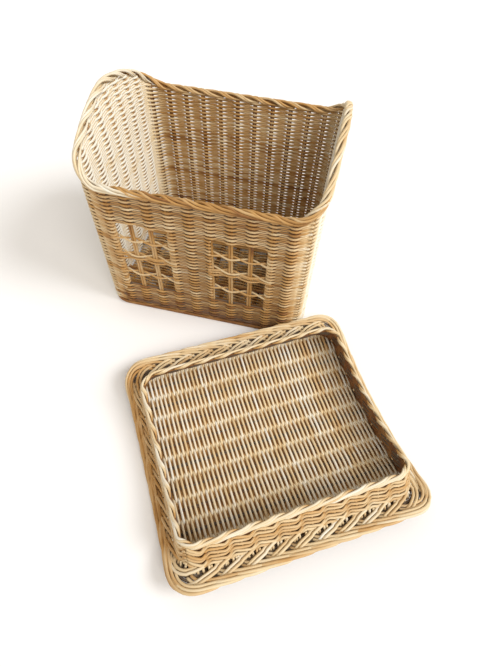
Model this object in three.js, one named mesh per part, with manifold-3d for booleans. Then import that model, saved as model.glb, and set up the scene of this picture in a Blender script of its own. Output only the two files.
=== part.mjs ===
// Toy storage basket in natural rattan, with arched ends, two lattice windows and a barrel roof lid.
// Millimetres, +Z up. The origin is the middle of the basket's underside, +X along the basket's length
// and -Y its window side. The lid lies upside down on the floor beside the front right corner.

import * as THREE from 'three';
import { mergeVertices } from 'three/addons/utils/BufferGeometryUtils.js';
import Module from 'manifold-3d';

const wasm = await Module();
wasm.setup();

// Basket, measured to the middle of the woven wall
const RIM_LENGTH = 360;
const RIM_DEPTH = 300;
const BASE_LENGTH = 350;
const BASE_DEPTH = 296;
const RIM_HEIGHT = 258;
const CORNER_RADIUS = 32;
const WALL_THICKNESS = 10;
const BASE_THICKNESS = 13;
const FOOT_ROUNDING = 6;
const RIM_DIAMETER = 14;

// Arches of the two ends: fullness 1 is a pointed gable and 2 an ellipse
const ARCH_RISE = 72;
const ARCH_FULLNESS = 1.47;
const ARCH_LEAN = 0.1;

// Stakes, each a pair of reeds side by side, woven into the walls
const STAKE_WIDTH = 8;
const STAKE_THICKNESS = 4;
const STAKE_BEND_RADIUS = 10;
const LONG_STAKES = 9;
const LONG_STAKE_PITCH = 32.3;
const LEFT_STAKE_INSET = 8;
const CROSS_STAKES = 7;
const CROSS_STAKE_INSET = 8;
const LEFT_CORNER_STAKES = 1;
const RIGHT_CORNER_STAKES = 2;
const STAKE_FLOOR_CLEARANCE = 3.3;
const STAKE_CROSSING_CLEARANCE = 0.9;

// Windows in the front wall, counted in stakes from the leftmost long one
const PANE_COLUMNS = 3;
const PANE_ROWS = 4;
const LEFT_WINDOW_STAKE = 0;
const RIGHT_WINDOW_STAKE = 5;
const WINDOW_SILL_HEIGHT = 58;
const WINDOW_HEIGHT = 138;
const WINDOW_WRAP = 2;
const THIN_TRANSOM = 4;
const THICK_TRANSOM = 14;

// Lid, a curved panel in a collar, with an eave round it
const LID_RADIUS = 470;
const LID_THICKNESS = 9;
const LID_CORNER_RADIUS = 32;
const LID_STAKES = 9;
const LID_STAKE_INSET = 22;
const COLLAR_THICKNESS = 8;
const COLLAR_HEIGHT = 41;
const COLLAR_TAPER = 9;
const EAVE_FRONT = 25.5;
const EAVE_SIDE = 17;
const EAVE_THICKNESS = 7;
const LID_RIM_DIAMETER = 9;

// How the collar drops into the basket's mouth
const MOUTH_CLEARANCE_LENGTH = 1.5;
const MOUTH_CLEARANCE_DEPTH = 8.5;

// Where the lid lies: its turn, its gap to the basket's corner and its shift along its own length
const LID_TURN = THREE.MathUtils.degToRad(31.7);
const LID_ASIDE_GAP = 2;
const LID_SHIFT = -110;

// Fits between neighbours
const FIT_GAP = 0.3;

// Fineness of the faceted shapes, and the largest detail that is smoothed away
const CORNER_STEPS = 5;
const ARCH_STEPS = 12;
const BEND_STEPS = 4;
const ROUND_SIDES = 8;
const LID_STRIPS = 11;
const SMALLEST_FEATURE = 0.02;

// Finishes
const PALE_CANE = { color: 0xe3cfa4, roughness: 0.6, metalness: 0 };
const TAN_CANE = { color: 0xc4a26c, roughness: 0.65, metalness: 0 };
const HONEY_CANE = { color: 0xb98d4f, roughness: 0.65, metalness: 0 };
const RIM_CANE = { color: 0xd2b583, roughness: 0.55, metalness: 0 };

const QUARTER = Math.PI / 2;
const FRONT = -QUARTER;
const RIGHT = 0;
const BACK = QUARTER;
const LEFT = Math.PI;

// Closed solids from points

function solidGeometry(positions, index) {
  const geometry = new THREE.BufferGeometry();
  geometry.setAttribute('position', new THREE.Float32BufferAttribute(positions, 3));
  geometry.setIndex(index);
  return geometry;
}

function pushQuad(index, a, b, c, d) {
  index.push(a, b, c, a, c, d);
}

// A curved plate: point(i, j, side) gives column i, row j on the inner (0) or outer (1) face
function plate(columns, rows, point) {
  const positions = [];
  const index = [];
  const at = (i, j, side) => (side * rows + j) * columns + i;
  for (const side of [0, 1]) {
    for (let j = 0; j < rows; j += 1) {
      for (let i = 0; i < columns; i += 1) positions.push(...point(i, j, side).toArray());
    }
  }
  for (let j = 0; j + 1 < rows; j += 1) {
    for (let i = 0; i + 1 < columns; i += 1) {
      pushQuad(index, at(i, j, 1), at(i + 1, j, 1), at(i + 1, j + 1, 1), at(i, j + 1, 1));
      pushQuad(index, at(i, j, 0), at(i, j + 1, 0), at(i + 1, j + 1, 0), at(i + 1, j, 0));
    }
    const last = columns - 1;
    pushQuad(index, at(0, j, 0), at(0, j, 1), at(0, j + 1, 1), at(0, j + 1, 0));
    pushQuad(index, at(last, j, 1), at(last, j, 0), at(last, j + 1, 0), at(last, j + 1, 1));
  }
  for (let i = 0; i + 1 < columns; i += 1) {
    const top = rows - 1;
    pushQuad(index, at(i, 0, 0), at(i + 1, 0, 0), at(i + 1, 0, 1), at(i, 0, 1));
    pushQuad(index, at(i, top, 1), at(i + 1, top, 1), at(i + 1, top, 0), at(i, top, 0));
  }
  return solidGeometry(positions, index);
}

// Rings of points joined into a tube, closed on itself or with flat ends
function tubeOfRings(rings, closed) {
  const sides = rings[0].length;
  const index = [];
  const at = (i, k) => (i % rings.length) * sides + (k % sides);
  const spans = closed ? rings.length : rings.length - 1;
  for (let i = 0; i < spans; i += 1) {
    for (let k = 0; k < sides; k += 1) pushQuad(index, at(i, k), at(i, k + 1), at(i + 1, k + 1), at(i + 1, k));
  }
  if (!closed) {
    const end = rings.length - 1;
    for (let k = 1; k + 1 < sides; k += 1) {
      index.push(at(0, 0), at(0, k + 1), at(0, k));
      index.push(at(end, 0), at(end, k), at(end, k + 1));
    }
  }
  return solidGeometry(rings.flat().flatMap((p) => p.toArray()), index);
}

// An oval bar along points; wideWay(i) is the direction of its width
function ovalBar(points, wideWay, width, thickness, closed = false) {
  const count = points.length;
  const rings = points.map((point, i) => {
    const before = points[closed ? (i + count - 1) % count : Math.max(i - 1, 0)];
    const after = points[closed ? (i + 1) % count : Math.min(i + 1, count - 1)];
    const along = after.clone().sub(before).normalize();
    const wide = wideWay(i).clone();
    wide.addScaledVector(along, -wide.dot(along)).normalize();
    const thick = new THREE.Vector3().crossVectors(along, wide);
    return Array.from({ length: ROUND_SIDES }, (_, k) => {
      const angle = (k + 0.5) * 2 * Math.PI / ROUND_SIDES;
      return point.clone()
        .addScaledVector(wide, width / 2 * Math.cos(angle))
        .addScaledVector(thick, thickness / 2 * Math.sin(angle));
    });
  });
  return tubeOfRings(rings, closed);
}

// Booleans

function toManifold(geometry) {
  const bare = geometry.clone();
  bare.deleteAttribute('normal');
  bare.deleteAttribute('uv');
  const merged = mergeVertices(bare, 1e-4);
  return new wasm.Manifold(new wasm.Mesh({
    numProp: 3,
    vertProperties: Float32Array.from(merged.attributes.position.array),
    triVerts: Uint32Array.from(merged.index.array),
  }));
}

function fromManifold(solid) {
  const mesh = solid.simplify(SMALLEST_FEATURE).getMesh();
  return solidGeometry(Array.from(mesh.vertProperties), Array.from(mesh.triVerts));
}

function cutBy(geometry, tools) {
  const cut = tools.reduce((rest, tool) => rest.subtract(toManifold(tool)), toManifold(geometry));
  return fromManifold(cut);
}

// The basket's outline

function halfLength(z) {
  const flare = (RIM_LENGTH - BASE_LENGTH) / 2 * Math.min(z / RIM_HEIGHT, 1);
  return BASE_LENGTH / 2 + flare + ARCH_LEAN * Math.max(z - RIM_HEIGHT, 0);
}

function halfDepth(z) {
  return BASE_DEPTH / 2 + (RIM_DEPTH - BASE_DEPTH) / 2 * Math.min(z / RIM_HEIGHT, 1);
}

// A rounded corner's point, with the same signs as its corner angle
function cornerPoint(corner, angle, z, out) {
  const centreX = Math.sign(Math.cos(corner)) * (halfLength(z) - CORNER_RADIUS);
  const centreY = Math.sign(Math.sin(corner)) * (halfDepth(z) - CORNER_RADIUS);
  const reach = CORNER_RADIUS + out;
  return new THREE.Vector3(centreX + reach * Math.cos(angle), centreY + reach * Math.sin(angle), z);
}

function rimHeight(y) {
  const share = Math.min(Math.abs(y) / (RIM_DEPTH / 2), 1);
  return RIM_HEIGHT + ARCH_RISE * (1 - share ** ARCH_FULLNESS) ** (1 / ARCH_FULLNESS);
}

// Places along one wall, from mid corner to mid corner, each a function of height and offset
function wallPlaces(facing, straightSteps, gap) {
  const before = facing - QUARTER / 2;
  const after = facing + QUARTER / 2;
  const trim = gap / 2 / (CORNER_RADIUS - WALL_THICKNESS / 2);
  const sweep = QUARTER / 2 - trim;
  const places = [];
  for (let i = 0; i <= CORNER_STEPS; i += 1) {
    const angle = facing - sweep * (1 - i / CORNER_STEPS);
    places.push((z, out) => cornerPoint(before, angle, z, out));
  }
  for (let i = 1; i < straightSteps; i += 1) {
    places.push((z, out) => cornerPoint(before, facing, z, out)
      .lerp(cornerPoint(after, facing, z, out), i / straightSteps));
  }
  for (let i = 0; i <= CORNER_STEPS; i += 1) {
    const angle = facing + sweep * i / CORNER_STEPS;
    places.push((z, out) => cornerPoint(after, angle, z, out));
  }
  return places;
}

// Rows of a wall: a rounded foot, then a shoulder below the rim and steps up to the rim's middle
function wallRows() {
  const rows = [];
  for (let k = 0; k <= 3; k += 1) {
    const angle = k * Math.PI / 6;
    rows.push({
      height: () => FOOT_ROUNDING * (1 - Math.cos(angle)),
      inset: FOOT_ROUNDING * (1 - Math.sin(angle)),
    });
  }
  const shoulder = RIM_HEIGHT - RIM_DIAMETER;
  for (const share of [0, 1 / 3, 2 / 3, 1]) {
    rows.push({ height: (top) => shoulder + share * (top - shoulder), inset: 0 });
  }
  return rows;
}

function wallSolid(facing, straightSteps) {
  const places = wallPlaces(facing, straightSteps, FIT_GAP);
  const rows = wallRows();
  return plate(places.length, rows.length, (i, j, side) => {
    const top = rimHeight(places[i](RIM_HEIGHT, 0).y);
    const out = side === 1 ? WALL_THICKNESS / 2 - rows[j].inset : -WALL_THICKNESS / 2;
    return places[i](rows[j].height(top), out);
  });
}

// The border that runs round the mouth
function rimBar(diameter) {
  const points = [];
  const outward = [];
  for (const facing of [FRONT, RIGHT, BACK, LEFT]) {
    const steps = facing === RIGHT || facing === LEFT ? ARCH_STEPS : 1;
    for (const place of wallPlaces(facing, steps, 0).slice(1)) {
      const z = rimHeight(place(RIM_HEIGHT, 0).y);
      points.push(place(z, 0));
      outward.push(place(z, 1).sub(place(z, 0)));
    }
  }
  return ovalBar(points, (i) => outward[i], diameter, diameter, true);
}

// Stakes

const firstLongStake = CORNER_RADIUS + LEFT_STAKE_INSET - RIM_LENGTH / 2;
const lastLongStake = firstLongStake + (LONG_STAKES - 1) * LONG_STAKE_PITCH;
const rightStakeInset = RIM_LENGTH / 2 - CORNER_RADIUS - lastLongStake;
const crossPitch = (RIM_DEPTH - 2 * (CORNER_RADIUS + CROSS_STAKE_INSET)) / (CROSS_STAKES - 1);
const longLayer = STAKE_FLOOR_CLEARANCE + STAKE_THICKNESS / 2;
const crossLayer = longLayer + STAKE_THICKNESS + STAKE_CROSSING_CLEARANCE;

const longStakeX = (i, z) => (firstLongStake + i * LONG_STAKE_PITCH) * halfLength(z) / (RIM_LENGTH / 2);
const crossStakeY = (k, z) => k * crossPitch * halfDepth(z) / (RIM_DEPTH / 2);

// One leg of a stake in its own plane: reach out from the middle against height, top first
function stakeLeg(layer, reachAt, top) {
  const leg = [];
  if (top > RIM_HEIGHT + RIM_DIAMETER) leg.push([reachAt(top), top], [reachAt(RIM_HEIGHT), RIM_HEIGHT]);
  else leg.push([reachAt(top), top]);
  const centreHeight = layer + STAKE_BEND_RADIUS;
  const centreReach = reachAt(centreHeight) - STAKE_BEND_RADIUS;
  for (let i = 0; i <= BEND_STEPS; i += 1) {
    const angle = QUARTER * i / BEND_STEPS;
    leg.push([
      centreReach + STAKE_BEND_RADIUS * Math.cos(angle),
      centreHeight - STAKE_BEND_RADIUS * Math.sin(angle),
    ]);
  }
  return leg;
}

// A stake that runs up one wall, across the base and up the wall opposite
function longStake(i, growth) {
  const leg = stakeLeg(longLayer, halfDepth, RIM_HEIGHT);
  const front = leg.map(([reach, z]) => new THREE.Vector3(longStakeX(i, z), -reach, z));
  const back = leg.map(([reach, z]) => new THREE.Vector3(longStakeX(i, z), reach, z)).reverse();
  const wide = new THREE.Vector3(1, 0, 0);
  return ovalBar([...front, ...back], () => wide, STAKE_WIDTH + growth, STAKE_THICKNESS + growth);
}

function crossStake(k, growth) {
  const top = rimHeight(crossStakeY(k, RIM_HEIGHT));
  const leg = stakeLeg(crossLayer, halfLength, top);
  const left = leg.map(([reach, z]) => new THREE.Vector3(-reach, crossStakeY(k, z), z));
  const right = leg.map(([reach, z]) => new THREE.Vector3(reach, crossStakeY(k, z), z)).reverse();
  const wide = new THREE.Vector3(0, 1, 0);
  return ovalBar([...left, ...right], () => wide, STAKE_WIDTH + growth, STAKE_THICKNESS + growth);
}

const cornerStakes = (signX) => (signX < 0 ? LEFT_CORNER_STAKES : RIGHT_CORNER_STAKES);

// Stakes that stand in the rounded corners, spread between the last long and the last cross stake
function cornerStake(signX, signY, i, growth) {
  const corner = Math.atan2(signY, signX);
  const inset = signX < 0 ? LEFT_STAKE_INSET : rightStakeInset;
  const run = inset + CORNER_RADIUS * QUARTER + CROSS_STAKE_INSET;
  const turn = (i * run / (cornerStakes(signX) + 1) - inset) / CORNER_RADIUS;
  const angle = signY * (QUARTER - signX * turn);
  const foot = cornerPoint(corner, angle, longLayer, 0);
  const top = rimHeight(cornerPoint(corner, angle, RIM_HEIGHT, 0).y);
  const points = [foot, cornerPoint(corner, angle, RIM_HEIGHT, 0)];
  if (top > RIM_HEIGHT + RIM_DIAMETER) points.push(cornerPoint(corner, angle, top, 0));
  const wide = new THREE.Vector3(-Math.sin(angle), Math.cos(angle), 0);
  return ovalBar(points, () => wide, STAKE_WIDTH + growth, STAKE_THICKNESS + growth);
}

const stakeNumbers = (count) => Array.from({ length: count }, (_, i) => i - (count - 1) / 2);

function allStakes(growth) {
  const stakes = [];
  for (let i = 0; i < LONG_STAKES; i += 1) {
    stakes.push({ name: `long_stake_${i + 1}`, geometry: longStake(i, growth) });
  }
  stakeNumbers(CROSS_STAKES).forEach((k, i) => {
    stakes.push({ name: `cross_stake_${i + 1}`, geometry: crossStake(k, growth) });
  });
  const corners = [['front_left', -1, -1], ['front_right', 1, -1], ['back_right', 1, 1], ['back_left', -1, 1]];
  for (const [corner, signX, signY] of corners) {
    for (let i = 1; i <= cornerStakes(signX); i += 1) {
      stakes.push({ name: `corner_stake_${corner}_${i}`, geometry: cornerStake(signX, signY, i, growth) });
    }
  }
  return stakes;
}

const rimRoom = rimBar(RIM_DIAMETER + 2 * FIT_GAP / Math.cos(Math.PI / ROUND_SIDES));
const stakeRoom = allStakes(2 * FIT_GAP).map((stake) => stake.geometry);

// Windows

// A tapering block through the front wall, between two of its long stakes
function windowBlock(firstStake, low, high, sideGap) {
  const leftStake = firstStake;
  const rightStake = firstStake + PANE_COLUMNS;
  const reveal = STAKE_WIDTH / 2 + WINDOW_WRAP + sideGap;
  const shape = new THREE.Shape([
    new THREE.Vector2(longStakeX(leftStake, low) + reveal, low),
    new THREE.Vector2(longStakeX(rightStake, low) - reveal, low),
    new THREE.Vector2(longStakeX(rightStake, high) - reveal, high),
    new THREE.Vector2(longStakeX(leftStake, high) + reveal, high),
  ]);
  const block = new THREE.ExtrudeGeometry(shape, { depth: 4 * WALL_THICKNESS, bevelEnabled: false });
  block.rotateX(QUARTER);
  block.translate(0, -halfDepth(low) + 2 * WALL_THICKNESS, 0);
  return block;
}

const windowTop = WINDOW_SILL_HEIGHT + WINDOW_HEIGHT;
const transomHeights = Array.from({ length: PANE_ROWS - 1 }, (_, i) => (
  i === Math.floor((PANE_ROWS - 1) / 2) ? THICK_TRANSOM : THIN_TRANSOM));
const allTransoms = transomHeights.reduce((sum, height) => sum + height, 0);
const paneHeight = (WINDOW_HEIGHT - allTransoms) / PANE_ROWS;

function transoms(side, firstStake) {
  const wall = toManifold(wallSolid(FRONT, 1));
  let low = WINDOW_SILL_HEIGHT;
  return transomHeights.map((height, i) => {
    low += paneHeight;
    const strip = wall.intersect(toManifold(windowBlock(firstStake, low, low + height, FIT_GAP)));
    low += height;
    return {
      name: `${side}_window_transom_${i + 1}`,
      geometry: cutBy(fromManifold(strip), stakeRoom.slice(0, LONG_STAKES)),
    };
  });
}

// The woven panels of the basket

function frontWall() {
  const openings = [LEFT_WINDOW_STAKE, RIGHT_WINDOW_STAKE].map((stake) => (
    windowBlock(stake, WINDOW_SILL_HEIGHT, windowTop, 0)));
  return cutBy(wallSolid(FRONT, 1), [...openings, rimRoom, ...stakeRoom]);
}

function plainWall(facing, straightSteps) {
  return cutBy(wallSolid(facing, straightSteps), [rimRoom, ...stakeRoom]);
}

function basePanel() {
  const inset = WALL_THICKNESS / 2 + FIT_GAP;
  const x = BASE_LENGTH / 2 - inset;
  const y = BASE_DEPTH / 2 - inset;
  const radius = CORNER_RADIUS - inset;
  const shape = new THREE.Shape();
  shape.absarc(x - radius, -y + radius, radius, -QUARTER, 0);
  shape.absarc(x - radius, y - radius, radius, 0, QUARTER);
  shape.absarc(-x + radius, y - radius, radius, QUARTER, 2 * QUARTER);
  shape.absarc(-x + radius, -y + radius, radius, 2 * QUARTER, 3 * QUARTER);
  const slab = new THREE.ExtrudeGeometry(shape, {
    depth: BASE_THICKNESS, bevelEnabled: false, curveSegments: CORNER_STEPS,
  });
  return cutBy(slab, stakeRoom);
}

// The lid, in its own frame: X along the barrel, s the arc length across it, n the height off its middle

const collarHalfLength = (RIM_LENGTH - RIM_DIAMETER - COLLAR_THICKNESS) / 2 - MOUTH_CLEARANCE_LENGTH;
const mouthHalfDepth = (RIM_DEPTH - RIM_DIAMETER - COLLAR_THICKNESS) / 2 - MOUTH_CLEARANCE_DEPTH;
const collarHalfArc = COLLAR_TAPER
  + LID_RADIUS * Math.asin(mouthHalfDepth / (LID_RADIUS - COLLAR_HEIGHT));
const lidStraight = collarHalfArc - LID_CORNER_RADIUS;
const stripAngle = 2 * lidStraight / LID_RADIUS / LID_STRIPS;
const lidAxisHeight = (LID_RADIUS + LID_THICKNESS / 2) * Math.cos(stripAngle / 2);

function lidPoint(x, s, n) {
  const angle = s / LID_RADIUS;
  const reach = LID_RADIUS - n;
  return new THREE.Vector3(x, reach * Math.sin(angle), lidAxisHeight - reach * Math.cos(angle));
}

// A place on the lid's outline: outX and outS are the offsets along the barrel and across it
function lidPlace(corner, angle, share, outX, outS, n) {
  const signX = Math.sign(Math.cos(corner));
  const signS = Math.sign(Math.sin(corner));
  const x = signX * (collarHalfLength - LID_CORNER_RADIUS) + (LID_CORNER_RADIUS + outX) * Math.cos(angle);
  const s = signS * lidStraight + (LID_CORNER_RADIUS + outS) * Math.sin(angle);
  return lidPoint(x, s * (1 - share) - s * share, n);
}

// Places along one side of the collar; the long curved sides are split into the barrel's strips
function lidPlaces(facing, gap) {
  const before = facing - QUARTER / 2;
  const after = facing + QUARTER / 2;
  const alongArc = facing === RIGHT || facing === LEFT;
  const trim = gap / 2 / (LID_CORNER_RADIUS - COLLAR_THICKNESS / 2 - COLLAR_TAPER);
  const sweep = QUARTER / 2 - trim;
  const places = [];
  for (let i = 0; i <= CORNER_STEPS; i += 1) {
    const angle = facing - sweep * (1 - i / CORNER_STEPS);
    places.push((outX, outS, n) => lidPlace(before, angle, 0, outX, outS, n));
  }
  for (let i = 1; alongArc && i < LID_STRIPS; i += 1) {
    places.push((outX, outS, n) => lidPlace(before, facing, i / LID_STRIPS, outX, outS, n));
  }
  for (let i = 0; i <= CORNER_STEPS; i += 1) {
    const angle = facing + sweep * i / CORNER_STEPS;
    places.push((outX, outS, n) => lidPlace(after, angle, 0, outX, outS, n));
  }
  return places;
}

const collarLean = (n) => COLLAR_TAPER * n / COLLAR_HEIGHT;

function collarWall(facing) {
  const places = lidPlaces(facing, FIT_GAP);
  const levels = [-LID_THICKNESS / 2, COLLAR_HEIGHT];
  return plate(places.length, levels.length, (i, j, side) => {
    const out = (side === 1 ? 1 : -1) * COLLAR_THICKNESS / 2;
    return places[i](out, out - collarLean(levels[j]), levels[j]);
  });
}

// Rings round the lid, each section point given as its two offsets and its height
function lidRing(section) {
  const places = [FRONT, RIGHT, BACK, LEFT].flatMap((facing) => lidPlaces(facing, 0).slice(1));
  return tubeOfRings(places.map((place) => section.map(([outX, outS, n]) => place(outX, outS, n))), true);
}

function lidBorder() {
  const low = -EAVE_THICKNESS / 2;
  const high = EAVE_THICKNESS / 2;
  const inner = COLLAR_THICKNESS / 2 + FIT_GAP;
  const stop = LID_RIM_DIAMETER / 2 + FIT_GAP;
  return lidRing([
    [inner, inner - collarLean(low), low],
    [inner, inner - collarLean(high), high],
    [EAVE_SIDE - stop, EAVE_FRONT - stop, high],
    [EAVE_SIDE - stop, EAVE_FRONT - stop, low],
  ]);
}

function lidRim() {
  const radius = LID_RIM_DIAMETER / 2;
  return lidRing(Array.from({ length: ROUND_SIDES }, (_, k) => {
    const angle = (k + 0.5) * 2 * Math.PI / ROUND_SIDES;
    const out = -radius * Math.cos(angle);
    return [EAVE_SIDE + out, EAVE_FRONT + out, radius * Math.sin(angle)];
  }));
}

// The panel inside the collar: half its length at each station across the barrel
const panelInset = COLLAR_THICKNESS / 2 + FIT_GAP;
const panelRadius = LID_CORNER_RADIUS - panelInset - collarLean(LID_THICKNESS / 2);

function panelHalfLength(s) {
  const beyond = Math.max(Math.abs(s) - lidStraight, 0);
  return collarHalfLength - LID_CORNER_RADIUS + (LID_CORNER_RADIUS - panelInset) * Math.sqrt(
    Math.max(1 - (beyond / panelRadius) ** 2, 0));
}

function lidPanel(stakes) {
  const stations = [];
  for (let i = CORNER_STEPS; i > 0; i -= 1) {
    stations.push(-lidStraight - panelRadius * Math.sin(QUARTER * i / CORNER_STEPS));
  }
  for (let i = 0; i <= LID_STRIPS; i += 1) stations.push(lidStraight * (2 * i / LID_STRIPS - 1));
  for (let i = 1; i <= CORNER_STEPS; i += 1) {
    stations.push(lidStraight + panelRadius * Math.sin(QUARTER * i / CORNER_STEPS));
  }
  const panel = plate(2, stations.length, (i, j, side) => {
    const x = (i === 0 ? -1 : 1) * panelHalfLength(stations[j]);
    return lidPoint(x, stations[j], (side === 1 ? 1 : -1) * LID_THICKNESS / 2);
  });
  return cutBy(panel, stakes);
}

function lidStake(k, growth) {
  const pitch = 2 * (collarHalfArc - LID_STAKE_INSET) / (LID_STAKES - 1);
  const s = k * pitch;
  const half = panelHalfLength(Math.abs(s) + STAKE_WIDTH / 2) + growth;
  const wide = lidPoint(0, s + 1, 0).sub(lidPoint(0, s - 1, 0));
  const points = [lidPoint(-half, s, 0), lidPoint(half, s, 0)];
  return ovalBar(points, () => wide, STAKE_WIDTH + growth, STAKE_THICKNESS + growth);
}

// Assembly

function named(name, geometry, finish) {
  const flat = geometry.toNonIndexed();
  flat.computeVertexNormals();
  const mesh = new THREE.Mesh(flat, new THREE.MeshStandardMaterial(finish));
  mesh.name = name;
  return mesh;
}

function basket() {
  const group = new THREE.Group();
  group.add(named('base_weave', basePanel(), TAN_CANE));
  group.add(named('front_wall_weave', frontWall(), TAN_CANE));
  group.add(named('right_end_weave', plainWall(RIGHT, ARCH_STEPS), PALE_CANE));
  group.add(named('back_wall_weave', plainWall(BACK, 1), HONEY_CANE));
  group.add(named('left_end_weave', plainWall(LEFT, ARCH_STEPS), PALE_CANE));
  group.add(named('rim_border', rimBar(RIM_DIAMETER), RIM_CANE));
  for (const { name, geometry } of allStakes(0)) group.add(named(name, cutBy(geometry, [rimRoom]), PALE_CANE));
  const bars = [...transoms('left', LEFT_WINDOW_STAKE), ...transoms('right', RIGHT_WINDOW_STAKE)];
  for (const { name, geometry } of bars) group.add(named(name, geometry, TAN_CANE));
  return group;
}

function lid() {
  const group = new THREE.Group();
  const numbers = stakeNumbers(LID_STAKES);
  group.add(named('lid_panel_weave', lidPanel(numbers.map((k) => lidStake(k, 2 * FIT_GAP))), PALE_CANE));
  numbers.forEach((k, i) => group.add(named(`lid_stake_${i + 1}`, lidStake(k, 0), PALE_CANE)));
  group.add(named('lid_collar_front', collarWall(FRONT), PALE_CANE));
  group.add(named('lid_collar_right', collarWall(RIGHT), PALE_CANE));
  group.add(named('lid_collar_back', collarWall(BACK), PALE_CANE));
  group.add(named('lid_collar_left', collarWall(LEFT), PALE_CANE));
  group.add(named('lid_border', lidBorder(), PALE_CANE));
  group.add(named('lid_outer_rim', lidRim(), RIM_CANE));
  const edge = lidPoint(0, collarHalfArc + EAVE_FRONT, 0);
  const away = CORNER_RADIUS + WALL_THICKNESS / 2 + LID_ASIDE_GAP + LID_RIM_DIAMETER / 2 + edge.y;
  const alongLid = new THREE.Vector3(Math.cos(LID_TURN), Math.sin(LID_TURN), 0);
  const acrossLid = new THREE.Vector3(-Math.sin(LID_TURN), Math.cos(LID_TURN), 0);
  group.position.set(halfLength(edge.z) - CORNER_RADIUS, CORNER_RADIUS - halfDepth(edge.z), 0);
  group.position.addScaledVector(acrossLid, -away).addScaledVector(alongLid, LID_SHIFT);
  group.rotation.z = LID_TURN;
  return group;
}

const group = new THREE.Group();
group.add(basket());
group.add(lid());

export default group;
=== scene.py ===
"""A toy basket woven from peeled rattan, with arched ends, two lattice windows and a curved lid.

Every strand is swept along its own way through the weave. Lengths are in millimetres in the functions
and in metres in the sidebar's settings and in the finished meshes.
"""

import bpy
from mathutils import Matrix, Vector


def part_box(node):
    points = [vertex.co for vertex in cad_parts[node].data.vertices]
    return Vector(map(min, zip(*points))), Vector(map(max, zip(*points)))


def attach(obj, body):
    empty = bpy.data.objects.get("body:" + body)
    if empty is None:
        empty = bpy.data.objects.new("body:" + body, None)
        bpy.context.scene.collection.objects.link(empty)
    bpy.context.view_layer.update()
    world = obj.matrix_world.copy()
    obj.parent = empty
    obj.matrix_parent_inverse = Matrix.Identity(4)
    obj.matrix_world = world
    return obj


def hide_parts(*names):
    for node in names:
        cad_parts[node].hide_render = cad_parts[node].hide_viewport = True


bl_info = {
    "name": "Rattan toy basket",
    "version": (1, 0, 0),
    "blender": (4, 5, 0),
    "location": "View3D > Sidebar > Toy basket",
    "description": "Weaves a rattan toy basket with two lattice windows and its curved lid",
    "category": "Object",
}

import math

import bpy
import numpy as np

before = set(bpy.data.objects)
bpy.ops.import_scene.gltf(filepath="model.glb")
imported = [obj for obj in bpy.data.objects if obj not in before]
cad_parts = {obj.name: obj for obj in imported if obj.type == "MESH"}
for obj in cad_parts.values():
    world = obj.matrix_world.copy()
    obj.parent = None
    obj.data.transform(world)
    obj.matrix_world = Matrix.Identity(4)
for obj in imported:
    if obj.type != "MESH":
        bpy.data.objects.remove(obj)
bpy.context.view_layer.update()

MM = 0.001
QUARTER = math.pi / 2

# Stakes, counted round the rim from the front wall's left one, as all places along it are
LONG_STAKES = 9
CROSS_STAKES = 7
CORNER_STAKES = {"front_right": (9, 10), "back_right": (19, 18), "back_left": (29,), "front_left": (37,)}
STAKES = 2 * (LONG_STAKES + CROSS_STAKES) + 6  # with the six corner stakes
REPEATED = 4  # stakes listed again past either end, for places near the start
WINDOWS = ((0, 3), (5, 8))  # first and last stake of each window

# The basket's shape
ARCH_ROUNDNESS = 1.47  # 2 would be half an ellipse, and less is more pointed
ARCH_FLARE = 0.1  # how far the ends lean out above the rim, for each millimetre of height
LONG_LAYER = 5.3  # height of the long stakes' middle under the base
CROSS_LAYER = 10.2  # and of the cross stakes', which lie on the base's weave
STAKE_END = 3.0  # from a stake's top end up to the rim's middle
STAKE_BEND = 10.0  # radius of its bend from the wall into the base

# The walls' weave: rows are counted from the windows' sill
ROWS = range(-16, 80)  # from just above the floor to the top of the arches
WINDOW_ROWS = 40  # beside a window, from its sill to its head
ROW_SAMPLES = 12  # points of a weaver from one stake to the next
ROW_SWAY = 0.2  # how far a row strays up and down
RIM_COVER = 4.0  # from the highest row up to the rim's middle
SHORTEST = 0.3  # a shorter stretch of a row, in stakes, is left out
FAN_START = 150.0  # height above which the rows fan out towards the arches
FAN_SHARE = 0.3  # how much of an arch's rise the fanned rows take up
FLAT = 0.95  # a weaver's thickness against its height
STAKE_CREST = 3.0  # how far to either side of a stake a weaver lies fully over it
STAKE_FALL = 9.0  # length over which it then falls to the wall's middle
CREST_SWELL = 0.16  # how much thicker it is where it is pressed over a stake
BACK_SHIFT = 1.7  # how far beside its stakes the back wall's weave crests, so that light dashes show
TURN_REACH = 5.0  # how far past the middle of a window's side stake a weaver turns back
TIGHT_TURN = 0.3  # the same at the right window's left stake, past which the turns don't show
BACK_CORE_OUT = 1.8  # how far outwards the straight strands inside the back wall lie
FOOT_RODS = ((2.1, 2.6), (5.6, 3.2))  # heights and offsets outwards of the rods round the foot

# Radii of the strands that have no setting
RADII = {
    "core": 1.2, "back core": 0.85, "foot rod": 2.0, "twine": 1.65, "course": 1.7,
    "panel core": 1.35, "collar core": 1.6, "upright": 1.3, "free edge": 1.75, "stub": 1.8, "bedding": 1.9,
}

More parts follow.
